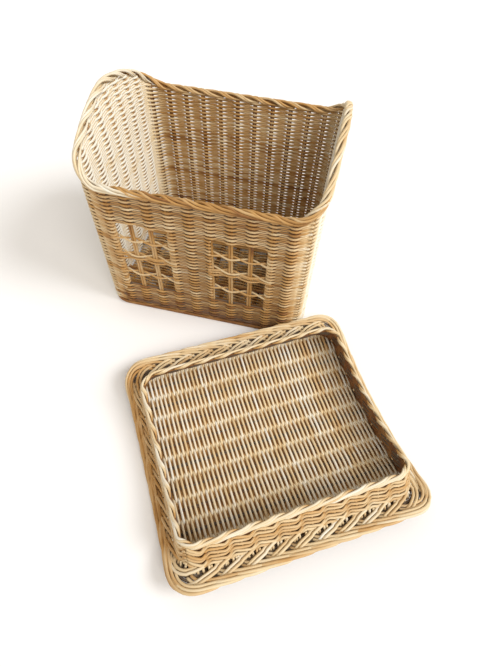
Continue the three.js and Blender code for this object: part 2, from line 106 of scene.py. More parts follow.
# Tones run from 0, the palest cane, to 1, the darkest. These are their middles, before any scatter
# The stakes', cores' and bedding strands' dark tones are painted shade, deep in the weave
TONES = {
    "stake": 0.8, "window bar": 0.48, "cross stake": 0.7, "base": 0.45,
    "front twine": 0.3, "back twine": 0.5, "course": 0.5,
    "panel": 0.2, "panel core": 0.75, "panel stake": 1.0,
    "rod": 0.36, "collar core": 0.85, "upright": 0.4, "free edge": 0.24, "stub": 0.28,
    "plait": 0.28, "binding": 0.34, "under the plait": 1.2, "under the rim": 0.6,
}
TONE_STOPS = (0.0, 0.28, 0.60, 0.88, 1.0)  # pale, cream, honey, brown and dark
WALL_SCATTER = 0.11  # how much the strands of one wall differ
FOOT_FADE = 75.0  # height up to which a wall's foot is darker, as painted shade near the floor
CORNER_TONE = 0.24  # what two walls' painted light and shade blend to in the middle of their corner
CORNER_BLEND = 0.8  # over so many stakes to either side
RIM_TONES = ((9, 0.60), (18, 0.26), (29, 0.50), (38, 0.16))  # each side's end, as a stake, and its tone, painted light and shade: darker front and back, paler ends
UNDER_SHADE = 0.48  # painted shade: how much darker the lid panel's weavers are where they pass under a stake
LEFT_SHADE = 0.24  # painted shade: how much darker the lid's border is on its left side, away from the light

# Each wall: its side, its pieces' name, its slot, its tone, and what its foot and its inside add to that.
# Tone, foot and inside are painted light and shade: pale ends where lit, a darker front and back,
# darker feet near the floor, and cores darker in the gaps but lighter on the back wall as light dashes
WALLS = (
    ("front", "front_wall", "tan_rattan", 0.45, 0.3, 0.45),
    ("right", "right_end", "pale_rattan", -0.04, 0.1, 0.3),
    ("back", "back_wall", "honey_rattan", 0.41, 0.08, -0.3),
    ("left", "left_end", "pale_rattan", -0.08, 0.2, 0.4),
)

# Base, window transoms and rim
BASE_EDGE = 6.0  # from the middle of the wall in to the end of the base's weavers
BASE_PITCH = 3.4  # spacing of the base's weavers
THIN_TRANSOM = 4.0  # height of a window's upper and lower transoms
BROAD_TRANSOM = 14.0  # and of its middle one
TWINE_RISE = 5.4  # from the broad transom's middle up to its twined strands
COURSE_DROP = 5.2  # and down to the lowest of its three plain courses
COURSE_PITCH = 3.4  # from one course to the next
TRANSOM_END = 0.16  # how far past a window's side stake its transoms run, in stakes
RIM_RUN = 3.5  # how many stakes a pair of the rim's reeds runs along it

# The lid, as it lies beside the basket
LID_TURN = 31.7  # degrees
LID_STAKES = 9
COLLAR_PITCH = 32.4  # about the spacing of the collar's stakes, which are an even number in all
SIDE_LEAN = 0.6  # how much of the collar's taper its left and right sides have
EAVE_CORNER = 8.5  # how much farther the plaited border reaches at its corners
PANEL_EDGE = 1.2  # from the middle of the collar's wall in to the panel's edge
PANEL_FLAT = 0.8  # a panel weaver's thickness against its width
PANEL_CORE_HEIGHT = -1.2  # of the straight strands between the panel's weavers
EDGE_HEIGHT = 42.0  # of the collar's rolled free edge, to its middle
EDGE_DIP = 4.5  # how much lower each of its reeds starts
COLLAR_FOOT = 8.9  # height of the lowest row of rods
COLLAR_ROW = 11.2  # from there to the next
COLLAR_LIFT = 5.6  # how far a rod climbs as it passes over two stakes
COLLAR_CORE_PITCH = 3.4  # spacing of the straight strands behind the rods
STUB_PITCH = 5.5  # spacing of the reed ends at the collar's foot

# First seeds of the random draws, one run of them for each kind of strand
SEEDS = {
    "row height": 100, "row swing": 400, "row thickness": 900, "row start": 1000, "row tone": 7000,
    "stake": 31, "base": 3000, "twine": 0, "course": 60, "rim": 5200,
    "panel": 8100, "panel stake": 8400, "rod": 9000, "free edge": 9300, "stub": 9600,
    "plait": 9700, "binding": 9800,
}

# The camera, as fitted to the photograph, in degrees, metres and pixels
CAMERA_YAW, CAMERA_PITCH, CAMERA_ROLL = 11.2, 53.7, 2.5
CAMERA_PLACE = (0.1937, -0.6768, 0.710)
FOCAL_PIXELS = 488
PHOTO_HEIGHT_PIXELS = 667
SENSOR = 36.0  # millimetres


# Settings


def linear(hex_colour):
    """An sRGB colour such as "C79F63" as linear red, green, blue and alpha."""
    channels = [int(hex_colour[i:i + 2], 16) / 255 for i in (0, 2, 4)]
    return [c / 12.92 if c <= 0.04045 else ((c + 0.055) / 1.055) ** 2.4 for c in channels] + [1.0]


def length(name, default, description):
    return bpy.props.FloatProperty(
        name=name, default=default, description=description, min=0.0, subtype="DISTANCE", unit="LENGTH"
    )


def colour(name, default, description):
    return bpy.props.FloatVectorProperty(
        name=name, default=linear(default), description=description,
        size=4, min=0.0, max=1.0, subtype="COLOR",
    )


class ToyBasketSizes(bpy.types.PropertyGroup):
    rim_length: length("Rim length", 0.360, "Length of the mouth, to the middle of the wall")
    rim_depth: length("Rim depth", 0.300, "Depth of the mouth, to the middle of the wall")
    base_length: length("Base length", 0.350, "Length at the foot, to the middle of the wall")
    base_depth: length("Base depth", 0.296, "Depth at the foot, to the middle of the wall")
    rim_height: length("Rim height", 0.258, "Height of the middle of the rim border, front and back")
    corner_radius: length("Corner radius", 0.032, "Radius of the corners, to the middle of the wall")
    arch_rise: length("Arch rise", 0.072, "How far the two ends rise above the front and back")
    sill_height: length("Sill height", 0.058, "Height of the windows' lower edge")
    window_height: length("Window height", 0.138, "Height of the two lattice windows")
    long_pitch: length("Long stake pitch", 0.0323, "Spacing of the stakes of the front and back wall")
    stake_inset: length("Stake inset", 0.008, "From a left corner's curve to the first long or cross stake")
    stake_reed: length("Stake reed", 0.0040, "Diameter of one reed of a stake")
    weaver: length("Weaver", 0.0031, "Height of a weaver of the basket")
    border_reed: length("Border reed", 0.0043, "Diameter of a reed of the rim border")


class ToyBasketLidSizes(bpy.types.PropertyGroup):
    half_length: length("Half length", 0.1675, "Half the collar's length, to the middle of its wall")
    half_arc: length("Half arc", 0.15427, "Half the collar's depth measured round the curve")
    corner_radius: length("Corner radius", 0.032, "Radius of the collar's corners")
    curve_radius: length("Curve radius", 0.470, "Radius of the lid's curve")
    thickness: length("Panel thickness", 0.0088, "Thickness of the woven panel")
    collar_height: length("Collar height", 0.041, "Height of the collar above the panel's middle")
    collar_taper: length("Collar taper", 0.009, "How far the collar leans inwards at its free edge")
    eave_front: length("Eave front", 0.0255, "Reach of the plaited border past the collar, front and back")
    eave_side: length("Eave side", 0.017, "Reach of the plaited border past the collar, left and right")
    stake_pitch: length("Stake pitch", 0.03307, "Spacing of the panel's stakes")
    weaver: length("Weaver", 0.0039, "Width of a weaver of the panel")
    weaver_pitch: length("Weaver pitch", 0.00335, "Spacing of the panel's weavers")
    rod: length("Rod", 0.0039, "Diameter of a rod of the collar")
    plait_reed: length("Plait reed", 0.0043, "Diameter of a reed of the plaited border")


class ToyBasketColours(bpy.types.PropertyGroup):
    pale: colour("Pale", "EAE6DA", "Palest cane")
    cream: colour("Cream", "DDC8A1", "Cream cane")
    honey: colour("Honey", "BE9256", "Honey cane")
    brown: colour("Brown", "7A4B22", "Brown cane")
    # The dark stop is painted shade, for strands that lie deep in the plait and the weave
    dark: colour("Dark", "68594A", "Darkest cane, deep in the plait")
    floor: colour("Floor", "F7F8FB", "Plain floor")


def in_millimetres(settings):
    """The settings as a plain dictionary of numbers in millimetres."""
    return {name: getattr(settings, name) / MM for name in settings.__annotations__}


# Strands


class Strands:
    """Round strands of one piece, each swept along its own line of points."""

    def __init__(self, sides=6):
        self.sides = sides
        self.points, self.tones, self.faces, self.corners = [], [], [], []
        self.count = 0

    def add(self, line, radius, tone, facing, flat=1.0, start=0.0):
        """Sweep a strand along line. It is flat times as thick the way that facing points."""
        line = np.asarray(line, float)
        count, sides = len(line), self.sides
        along = np.gradient(line, axis=0)
        along /= np.linalg.norm(along, axis=1, keepdims=True)
        across = np.cross(np.broadcast_to(np.asarray(facing, float), line.shape), along)
        across /= np.linalg.norm(across, axis=1, keepdims=True)
        out = np.cross(along, across)
        turn = (np.arange(sides) + 0.5) * 2 * math.pi / sides
        radius = np.broadcast_to(np.asarray(radius, float), (count,))[:, None, None]
        ring = line[:, None] + radius * (
            np.cos(turn)[None, :, None] * across[:, None]
            + flat * np.sin(turn)[None, :, None] * out[:, None]
        )
        self.points.append(ring.reshape(-1, 3))
        self.tones.append(np.repeat(np.broadcast_to(np.asarray(tone, float), (count,)), sides))
        travelled = start + np.concatenate([[0], np.cumsum(np.linalg.norm(np.diff(line, axis=0), axis=1))])
        i, k = (grid.ravel() for grid in np.meshgrid(np.arange(count - 1), np.arange(sides), indexing="ij"))
        this, after = i * sides + self.count, (k + 1) % sides
        self.faces.append(np.stack([this + k, this + after, this + sides + after, this + sides + k], 1))
        around = np.stack([k, k + 1, k + 1, k], 1) / sides
        reach = np.stack([travelled[i], travelled[i], travelled[i + 1], travelled[i + 1]], 1) * MM
        self.corners.append(np.stack([around, reach], -1).reshape(-1, 2))
        for end, order, reached in ((0, -1, travelled[0]), (count - 1, 1, travelled[-1])):
            cap = np.arange(sides)[::order]
            self.faces.append((cap + end * sides + self.count)[None])
            self.corners.append(np.stack([cap / sides, np.full(sides, reached * MM)], 1))
        self.count += count * sides

    def to_object(self, name, material):
        """All strands as one smooth mesh object at the origin."""
        mesh = bpy.data.meshes.new(name)
        points = np.concatenate(self.points) * MM
        mesh.vertices.add(len(points))
        mesh.vertices.foreach_set("co", points.astype(np.float32).ravel())
        sizes = np.concatenate([np.full(len(f), f.shape[1]) for f in self.faces])
        loops = np.concatenate([f.ravel() for f in self.faces])
        mesh.loops.add(len(loops))
        mesh.loops.foreach_set("vertex_index", loops.astype(np.int32))
        mesh.polygons.add(len(sizes))
        starts = np.concatenate([[0], np.cumsum(sizes)[:-1]])
        mesh.polygons.foreach_set("loop_start", starts.astype(np.int32))
        mesh.polygons.foreach_set("use_smooth", np.ones(len(sizes), bool))
        uv = mesh.uv_layers.new(name="strand")
        uv.data.foreach_set("uv", np.concatenate(self.corners).astype(np.float32).ravel())
        tone = mesh.attributes.new("tone", "FLOAT", "POINT")
        tone.data.foreach_set("value", np.concatenate(self.tones).astype(np.float32))
        mesh.update(calc_edges=True)
        if mesh.validate():
            raise RuntimeError(f"{name} has faces that don't hold")
        mesh.materials.append(material)
        piece = bpy.data.objects.new(name, mesh)
        bpy.context.scene.collection.objects.link(piece)
        return piece


def place_piece(strands, name, finish, slot, body, *nodes):
    """Make the piece, let it stand for its CAD nodes and ride with their body."""
    piece = strands.to_object(name, finish[slot])
    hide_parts(*nodes)
    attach(piece, body)


def draws(kind, number):
    """Random draws for one strand, the same in each run and whatever else is woven."""
    return np.random.default_rng(SEEDS[kind] + number)


def any_start(rng):
    """Where in the pattern of fibres a strand starts, in millimetres, so that no two look alike."""
    return rng.uniform(0, 900)


def eased(share):
    """From 0 to 1, slow at both ends."""
    share = np.clip(share, 0, 1)
    return share * share * (3 - 2 * share)


def through(controls, samples):
    """A smooth line through control rows, with so many samples between two of them."""
    controls = np.asarray(controls, float)
    padded = np.vstack([2 * controls[0] - controls[1], controls, 2 * controls[-1] - controls[-2]])
    rows = []
    for i in range(1, len(padded) - 2):
        a, b, c, d = padded[i - 1:i + 3]
        for t in np.arange(samples) / samples:
            rows.append(0.5 * (2 * b + (c - a) * t + (2 * a - 5 * b + 4 * c - d) * t ** 2
                               + (3 * b - a - 3 * c + d) * t ** 3))
    rows.append(controls[-1])
    return np.array(rows)


def along_ring(distance, lengths, half_x, half_y, radius, out_x, out_y):
    """Points on a rounded rectangle at distances from its front side's start, and their outward angles."""
    edges = np.concatenate([[0], np.cumsum(lengths)])
    distance = np.mod(distance, edges[-1])
    leg = np.clip(np.searchsorted(edges, distance, side="right") - 1, 0, 7)
    share = (distance - edges[leg]) / lengths[leg]
    side, turning = leg // 2, leg % 2 == 1
    angle = (side - 1 + np.where(turning, share, 0)) * QUARTER
    reach = np.where(turning, 1.0, share)
    start_x, start_y = np.array([-1, 1, 1, -1])[side], np.array([-1, -1, 1, 1])[side]
    end_x, end_y = np.array([1, 1, -1, -1])[side], np.array([-1, 1, 1, -1])[side]
    x = (start_x + (end_x - start_x) * reach) * (half_x - radius) + (radius + out_x) * np.cos(angle)
    y = (start_y + (end_y - start_y) * reach) * (half_y - radius) + (radius + out_y) * np.sin(angle)
    return x, y, angle


def spread(first, last, count):
    """So many places spread evenly between two others."""
    return np.linspace(first, last, count + 2)[1:-1]


def ring_lengths(half_x, half_y, radius):
    """Lengths of a rounded rectangle's front side, its first corner and so on round it."""
    quarter = radius * QUARTER
    return np.array([2 * (half_x - radius), quarter, 2 * (half_y - radius), quarter] * 2)


def wander(rng, at, size):
    """A slow random sway of about that size along the values of at."""
    first, second = rng.uniform(0, 2 * math.pi, 2)
    return size * (0.6 * np.sin(0.83 * at + first) + 0.4 * np.sin(2.17 * at + second))


# The basket's shape


class BasketShape:
    """Where the basket's wall, stakes and rim run, counted in stakes from the front left one."""

    def __init__(self, size):
        self.size = size
        radius = size["corner_radius"]
        self.lengths = ring_lengths(size["rim_length"] / 2, size["rim_depth"] / 2, radius)
        self.pitch = size["long_pitch"]
        inset = size["stake_inset"]
        edges = np.concatenate([[0], np.cumsum(self.lengths)])
        front = inset + self.pitch * np.arange(LONG_STAKES)
        right = np.linspace(edges[2] + inset, edges[3] - inset, CROSS_STAKES)
        back = edges[4] + (edges[1] - front)[::-1]
        left = np.linspace(edges[6] + inset, edges[7] - inset, CROSS_STAKES)
        stations = np.array([*front, *spread(front[-1], right[0], len(CORNER_STAKES["front_right"])),
                             *right, *spread(right[-1], back[0], len(CORNER_STAKES["back_right"])),
                             *back, *spread(back[-1], left[0], len(CORNER_STAKES["back_left"])),
                             *left, *spread(left[-1], edges[8] + inset, len(CORNER_STAKES["front_left"]))])
        before, beyond = stations[-REPEATED:] - edges[8], stations[:REPEATED] + edges[8]
        self.stations = np.concatenate([before, stations, beyond])
        self.places = np.arange(-REPEATED, STAKES + REPEATED)
        corners = edges[1::2] + self.lengths[1] / 2
        stops = np.interp([corners[3] - edges[8], *corners], self.stations, self.places)
        self.walls = dict(zip(("front", "right", "back", "left"), zip(stops[:-1], stops[1:])))

    def distance(self, s):
        """Distance round the mouth of stake place s."""
        s = np.mod(np.asarray(s, float) + REPEATED / 2, STAKES) - REPEATED / 2
        return np.interp(s, self.places, self.stations)

    def half_length(self, z):
        size = self.size
        flare = (size["rim_length"] - size["base_length"]) / 2 * np.minimum(z / size["rim_height"], 1)
        return size["base_length"] / 2 + flare + ARCH_FLARE * np.maximum(z - size["rim_height"], 0)

    def half_depth(self, z):
        size = self.size
        flare = (size["rim_depth"] - size["base_depth"]) / 2 * np.minimum(z / size["rim_height"], 1)
        return size["base_depth"] / 2 + flare

    def rim_height(self, s):
        """Height of the rim's middle at stake place s."""
        size = self.size
        _, y, _ = along_ring(self.distance(s), self.lengths, size["rim_length"] / 2,
                             size["rim_depth"] / 2, size["corner_radius"], 0.0, 0.0)
        share = np.minimum(np.abs(y) / (size["rim_depth"] / 2), 1)
        arch = (1 - share ** ARCH_ROUNDNESS) ** (1 / ARCH_ROUNDNESS)
        return size["rim_height"] + size["arch_rise"] * arch

    def fanned(self, s, level):
        """Height of a row, which above the fan's start lies higher where the rim rises to an arch."""
        shoulder = self.size["rim_height"]
        fan = 1 + FAN_SHARE * (self.rim_height(s) - shoulder) / (shoulder - FAN_START)
        return np.where(level > FAN_START, FAN_START + (level - FAN_START) * fan, level)

    def wall(self, s, z, out):
        """Points of the wall and their outward directions."""
        s, z, out = np.broadcast_arrays(np.asarray(s, float), z, out)
        x, y, angle = along_ring(self.distance(s), self.lengths, self.half_length(z),
                                 self.half_depth(z), self.size["corner_radius"], out, out)
        outward = np.stack([np.cos(angle), np.sin(angle), np.zeros_like(angle)], -1)
        return np.stack([x, y, z], -1), outward


def strand_tone(row, place, tone):
    """Tone of the strand that a row has at a place: one runs for a while and the next one takes over."""
    rng = draws("row tone", row)
    joints = np.sort(rng.uniform(0, STAKES, 3))
    tones = np.clip(tone + rng.normal(0, WALL_SCATTER, 4), 0.0, 1.2)
    return tones[np.searchsorted(joints, np.mod(place, STAKES))]


class WallWeave:
    """The plain weave of one wall, row over row. Weavers lie in front of every other stake."""

    def __init__(self, shape, side):
        size = shape.size
        self.shape = shape
        self.start, self.stop = shape.walls[side]
        self.shift = BACK_SHIFT if side == "back" else 0.0
        self.reach = size["stake_reed"] / 2 + size["weaver"] / 2 * FLAT
        self.pitch = size["window_height"] / WINDOW_ROWS
        self.sill = size["sill_height"]
        self.radius = size["weaver"] / 2

    def level(self, row):
        """Height of a row before it fans out or sways."""
        return self.sill + self.pitch * (row + 0.5)

    def stretches(self, row):
        """The parts of a row that lie below the rim, from stake place to stake place."""
        s = np.linspace(self.start, self.stop, 200)
        below = self.height(row, s) < self.shape.rim_height(s) - RIM_COVER
        edges = np.flatnonzero(np.diff(np.concatenate([[0], below, [0]])))
        return [(s[a], s[b - 1]) for a, b in zip(edges[::2], edges[1::2]) if s[b - 1] - s[a] > SHORTEST]

    def height(self, row, s):
        rng = draws("row height", row)
        return self.shape.fanned(s, self.level(row)) + wander(rng, s, ROW_SWAY)

    def swing(self, row, s):
        """How far outwards a weaver lies: in front of a stake, then behind the next."""
        rng = draws("row swing", row)
        sway = 1 + wander(rng, s * 1.7, 0.05)
        return self.reach * sway * self.crest(s) * (-1) ** (np.round(s) + row)

    def crest(self, s):
        """How fully a weaver lies over a stake: 1 on it, or a shift beside it, and 0 midway between two."""
        distance = np.abs((s - np.round(s)) * self.shape.pitch + self.shift)
        return 1 - eased((distance - STAKE_CREST) / STAKE_FALL)

    def thickness(self, row, s):
        """Half a weaver, thicker where the rows spread apart and where it is pressed over a stake."""
        gap = self.height(row + 1, s) - self.height(row, s)
        rng = draws("row thickness", row)
        thick = np.clip(0.45 * gap, self.radius, 1.3 * self.radius) * rng.uniform(0.94, 1.05)
        return thick * (1 + CREST_SWELL * self.crest(s))

    def run(self, row, start, stop):
        """One row from stake place start to stop: its places, heights and offsets."""
        steps = max(2, int(round(abs(stop - start) * ROW_SAMPLES)) + 1)
        s = np.linspace(start, stop, steps)
        return np.stack([s, self.height(row, s), self.swing(row, s), np.full(steps, row)], 1)

    def turn(self, row, stake, way, reach=TURN_REACH):
        """The bend round a window's side stake, from one row to the next."""
        reach = reach / self.shape.pitch
        angles = np.radians([60, 25, -10, -45, -75])
        start = self.swing(row, np.array([float(stake)]))[0]
        low = self.height(row, np.array([float(stake)]))[0]
        high = self.height(row + 1, np.array([float(stake)]))[0]
        rise = (1 - np.sin(angles)) / 2
        return np.stack([stake + way * reach * np.cos(angles), low + (high - low) * rise,
                         start * np.sin(angles), np.full(5, row + 0.5)], 1)

    def add(self, strands, rows, tone):
        """Sweep a weaver through the places, heights and offsets of its rows."""
        s, z, out, row = rows.T
        points, outward = self.shape.wall(s, z, out)
        tones = np.array([strand_tone(int(r), place, tone) for r, place in zip(row, s)])
        tones += self.corner(s) * (CORNER_TONE - tone)
        first = int(row[0])
        start = any_start(draws("row start", first))
        strands.add(points, self.thickness(first, s), tones, outward, flat=FLAT, start=start)

    def fill(self, strands, row, start, stop, tone, out, radius):
        """A straight strand inside the wall, above the row, that closes the gaps beside the stakes. Its tone
        is painted shade in the gaps, lighter on the back wall as painted light dashes.
        """
        s = np.linspace(start, stop, max(2, int(round(3 * (stop - start)))))
        z = (self.height(row, s) + self.height(row + 1, s)) / 2
        points, outward = self.shape.wall(s, z, out)
        strands.add(points, radius, tone + self.corner(s) * (CORNER_TONE - tone), outward)

    def corner(self, s):
        """How near a place is to the middle of a rounded corner, where two walls' painted light and shade
        blend to one tone.
        """
        return eased(1 - np.minimum(s - self.start, self.stop - s) / CORNER_BLEND)


def weave_wall(shape, side, tone, foot_shade, core_shade_and_light):
    """All weavers of one wall, from mid corner to mid corner, or to a window's side stake and back."""
    weave = WallWeave(shape, side)
    strands = Strands()
    start, stop = weave.start, weave.stop
    # The foot rods take the foot's painted shade in full
    for height, out in FOOT_RODS:
        foot, outward = shape.wall(np.linspace(start, stop, 60), height, out)
        strands.add(foot, RADII["foot rod"], tone + foot_shade, outward)
    back = side == "back"
    # The cores are painted shade in the gaps, and on the back wall painted light dashes
    core = (BACK_CORE_OUT if back else 0.0, RADII["back core" if back else "core"])
    (far_left, near_left), (near_right, far_right) = WINDOWS
    beside_windows = ((start, far_left), (near_left, near_right), (far_right, stop))
    for row in ROWS:
        # Painted shade near the floor: rows darken towards the foot
        row_tone = tone + foot_shade * (1 - eased(weave.level(row) / FOOT_FADE))
        parted = side == "front" and 0 <= row < WINDOW_ROWS
        stretches = beside_windows if parted else weave.stretches(row)
        for stretch in stretches:
            weave.fill(strands, row, *stretch, row_tone + core_shade_and_light, *core)
        if not parted:
            for stretch in stretches:
                weave.add(strands, weave.run(row, *stretch), row_tone)
        elif row % 2 == 0:
            for end, side_stake, way in ((start, far_left, 1), (stop, far_right, -1)):
                pair = [weave.run(row, end, side_stake), weave.turn(row, side_stake, way),
                        weave.run(row + 1, side_stake, end)]
                weave.add(strands, np.concatenate(pair), row_tone)
    if side == "front":
        middle = []
        for row in range(0, WINDOW_ROWS, 2):
            middle += [weave.run(row, near_left, near_right), weave.turn(row, near_right, 1, TIGHT_TURN),
                       weave.run(row + 1, near_right, near_left)]
            if row + 2 < WINDOW_ROWS:
                middle.append(weave.turn(row + 1, near_left, -1))
        weave.add(strands, np.concatenate(middle), tone)
    return strands


def reed_pair(strands, line, sideways, radius, tone, rng):
    """Two reeds side by side along a line, a hair apart."""
    line = np.asarray(line, float)
    for way in (-1, 1):
        shade = np.clip(tone + rng.normal(0, 0.08), 0, 1.2)
        beside = line + way * radius * np.asarray(sideways)
        strands.add(beside, 0.98 * radius, shade, sideways, start=any_start(rng))


def stake_leg(reach_at, layer, top):
    """One leg of a stake in its own plane, top first: how far out it is at each height, then its bend."""
    leg = [(reach_at(z), z) for z in (*np.linspace(top, 60, 5), 30.0)]
    centre_z = layer + STAKE_BEND
    centre = reach_at(centre_z) - STAKE_BEND
    for angle in np.linspace(0, QUARTER, 7):
        leg.append((centre + STAKE_BEND * math.cos(angle), centre_z - STAKE_BEND * math.sin(angle)))
    return leg


# Materials


def add_node(tree, kind, inputs=None, **settings):
    """Add a node with its settings, and with a link or a value for each input."""
    node = tree.nodes.new(kind)
    for name, value in settings.items():
        setattr(node, name, value)
    for name, value in (inputs or {}).items():
        if isinstance(value, bpy.types.NodeSocket):
            tree.links.new(value, node.inputs[name])
        else:
            node.inputs[name].default_value = value
    return node


# Peeled rattan core is bare wood fibre with no varnish. Each strand has aged to a tone of its own, with
# darker marks, and its fibres run along it, which gives the eye a dull sheen and a soft grain. Many
# pieces' tones also carry painted light and shade.
# A pattern has so many grains round a strand, which is about 10 mm, each of a length in millimetres.
# Real fibres are finer and lower, and these are as coarse as they need to be to show
FIBRES = (14, 25.0)
FIBRE_HEIGHT = 0.4
MARKS = (1.5, 45.45)
STAIN_SIZE = 29.41  # patches that darken neighbouring strands together


def scale_on_strand(count_round, length_along):
    """Scale of a pattern on a strand's own map, which holds turns round it and metres along it."""
    return count_round, 1 / (length_along * MM), 1


def rattan(name, shift, colours):
    """Peeled rattan core: a tone for each strand, fine fibres along it, slow stains and a dull sheen."""
    material = bpy.data.materials.get(name)
    if material:
        return material
    material = bpy.data.materials.new(name)
    material.use_nodes = True
    tree = material.node_tree
    tree.nodes.clear()
    tone = add_node(tree, "ShaderNodeAttribute", attribute_name="tone", attribute_type="GEOMETRY")
    strand = add_node(tree, "ShaderNodeUVMap", uv_map="strand")
    place = add_node(tree, "ShaderNodeTexCoord")
    scaled = add_node(tree, "ShaderNodeMapping", {
        "Vector": strand.outputs["UV"], "Scale": scale_on_strand(*FIBRES),
    })
    fibres = add_node(tree, "ShaderNodeTexNoise", {"Vector": scaled.outputs[0], "Scale": 1.0, "Detail": 3.0})
    scaled = add_node(tree, "ShaderNodeMapping", {
        "Vector": strand.outputs["UV"], "Scale": scale_on_strand(*MARKS),
    })
    marks = add_node(tree, "ShaderNodeTexNoise", {"Vector": scaled.outputs[0], "Scale": 1.0, "Detail": 2.0})
    stains = add_node(tree, "ShaderNodeTexNoise", {
        "Vector": place.outputs["Object"], "Scale": 1 / (STAIN_SIZE * MM), "Detail": 2.0,
    })
    total = tone.outputs["Fac"]
    # shift is painted shade: it darkens the front wall, base and back wall as a whole
    for pattern, strength, added in ((fibres, 0.20, 0.0), (stains, 0.30, shift), (marks, 0.26, 0.0)):
        part = add_node(tree, "ShaderNodeMath", {
            0: pattern.outputs[0], 1: strength, 2: added - strength / 2,
        }, operation="MULTIPLY_ADD")
        total = add_node(tree, "ShaderNodeMath", {0: part.outputs[0], 1: total}, operation="ADD").outputs[0]
    ramp = add_node(tree, "ShaderNodeValToRGB", {"Fac": total})
    tints = (colours.pale, colours.cream, colours.honey, colours.brown, colours.dark)
    while len(ramp.color_ramp.elements) < len(tints):
        ramp.color_ramp.elements.new(0.5)
    for element, position, tint in zip(ramp.color_ramp.elements, TONE_STOPS, tints):
        element.position = position
        element.color = tint
    rough = add_node(tree, "ShaderNodeMath", {
        0: fibres.outputs[0], 1: 0.25, 2: 0.42,
    }, operation="MULTIPLY_ADD")
    bump = add_node(tree, "ShaderNodeBump", {
        "Height": fibres.outputs[0], "Strength": 0.35, "Distance": FIBRE_HEIGHT * MM,
    })
    surface = add_node(tree, "ShaderNodeBsdfPrincipled", {
        "Base Color": ramp.outputs["Color"], "Roughness": rough.outputs[0], "Normal": bump.outputs[0],
        "Specular IOR Level": 0.35,
    })
    add_node(tree, "ShaderNodeOutputMaterial", {"Surface": surface.outputs[0]})
    return material


def materials(context):
    """The material of each slot. The front wall, base and back wall are a little darker, as painted shade.
    """
    colours = context.scene.toy_basket_colours
    return {
        "tan_rattan": rattan("Peeled rattan, front wall and base", 0.06, colours),
        "pale_rattan": rattan("Peeled rattan, pale ends, stakes and lid", 0.0, colours),
        "honey_rattan": rattan("Peeled rattan, back wall", 0.10, colours),
        "border_rattan": rattan("Peeled rattan, borders", 0.0, colours),
    }


# Basket pieces


class BasketOperator(bpy.types.Operator):
    """Shared by the operators that weave a part of the basket"""

    bl_options = {"REGISTER", "UNDO"}

    def setup(self, context):
        size = in_millimetres(context.scene.toy_basket_sizes)
        return size, BasketShape(size), materials(context)


class TOYBASKET_OT_walls(BasketOperator):
    """Weave the front wall with its windows, the back wall and the two arched ends"""

    bl_idname = "toybasket.walls"
    bl_label = "Walls"

    def execute(self, context):
        _, shape, finish = self.setup(context)
        # Each wall's tone is painted light and shade: pale ends where lit, a darker front and back in shade
        for side, name, slot, tone, foot_shade, core_shade_and_light in WALLS:
            strands = weave_wall(shape, side, tone, foot_shade, core_shade_and_light)
            place_piece(strands, f"{name}_strands", finish, slot, "basket", f"{name}_weave")
        return {"FINISHED"}


class TOYBASKET_OT_stakes(BasketOperator):
    """Lay the long stakes, the cross stakes and the corner stakes, each a pair of reeds"""

    bl_idname = "toybasket.stakes"
    bl_label = "Stakes"

    def execute(self, context):
        size, shape, finish = self.setup(context)
        radius = size["stake_reed"] / 2
        sill, head = size["sill_height"], size["sill_height"] + size["window_height"]
        inset = size["corner_radius"] + size["stake_inset"]
        for number in range(LONG_STAKES):
            start = inset - size["rim_length"] / 2
            share = (start + number * shape.pitch) / (size["rim_length"] / 2)
            leg = stake_leg(shape.half_depth, LONG_LAYER, size["rim_height"] - STAKE_END)
            line = [(share * shape.half_length(z), -reach, z) for reach, z in leg]
            line += [(share * shape.half_length(z), reach, z) for reach, z in reversed(leg)]
            bare = any(first <= number <= last for first, last in WINDOWS)
            shows = [bare and y < 0 and sill - 5 < z < head + 5 for _, y, z in line]
            # Painted shade: a stake is darker where it lies in the weave than where it shows as a window bar
            tone = np.where(shows, TONES["window bar"], TONES["stake"])
            self.lay(f"long_stake_{number + 1}", line, (1, 0, 0), radius, tone, finish)
        outermost = 1 - inset / (size["rim_depth"] / 2)
        first_place = LONG_STAKES + len(CORNER_STAKES["front_right"])
        for number in range(CROSS_STAKES):
            share = (2 * number / (CROSS_STAKES - 1) - 1) * outermost
            top = float(shape.rim_height(float(first_place + number))) - STAKE_END
            leg = stake_leg(shape.half_length, CROSS_LAYER, top)
            line = [(-reach, share * shape.half_depth(z), z) for reach, z in leg]
            line += [(reach, share * shape.half_depth(z), z) for reach, z in reversed(leg)]
            self.lay(f"cross_stake_{number + 1}", line, (0, 1, 0), radius, TONES["cross stake"], finish)
        for corner, stakes in CORNER_STAKES.items():
            for i, stake in enumerate(stakes):
                top = float(shape.rim_height(float(stake))) - STAKE_END
                line, outward = shape.wall(float(stake), np.linspace(3.5, top, 7), 0.0)
                sideways = np.cross(outward[0], (0, 0, 1))
                node = f"corner_stake_{corner}_{i + 1}"
                self.lay(node, line, sideways, radius, TONES["stake"], finish)
        return {"FINISHED"}

    def lay(self, node, line, sideways, radius, tone, finish):
        """One stake as a pair of reeds."""
        rng = draws("stake", sum(ord(c) for c in node))
        strands = Strands(8)
        reed_pair(strands, line, sideways, radius, tone, rng)
        place_piece(strands, f"{node}_reeds", finish, "pale_rattan", "basket", node)


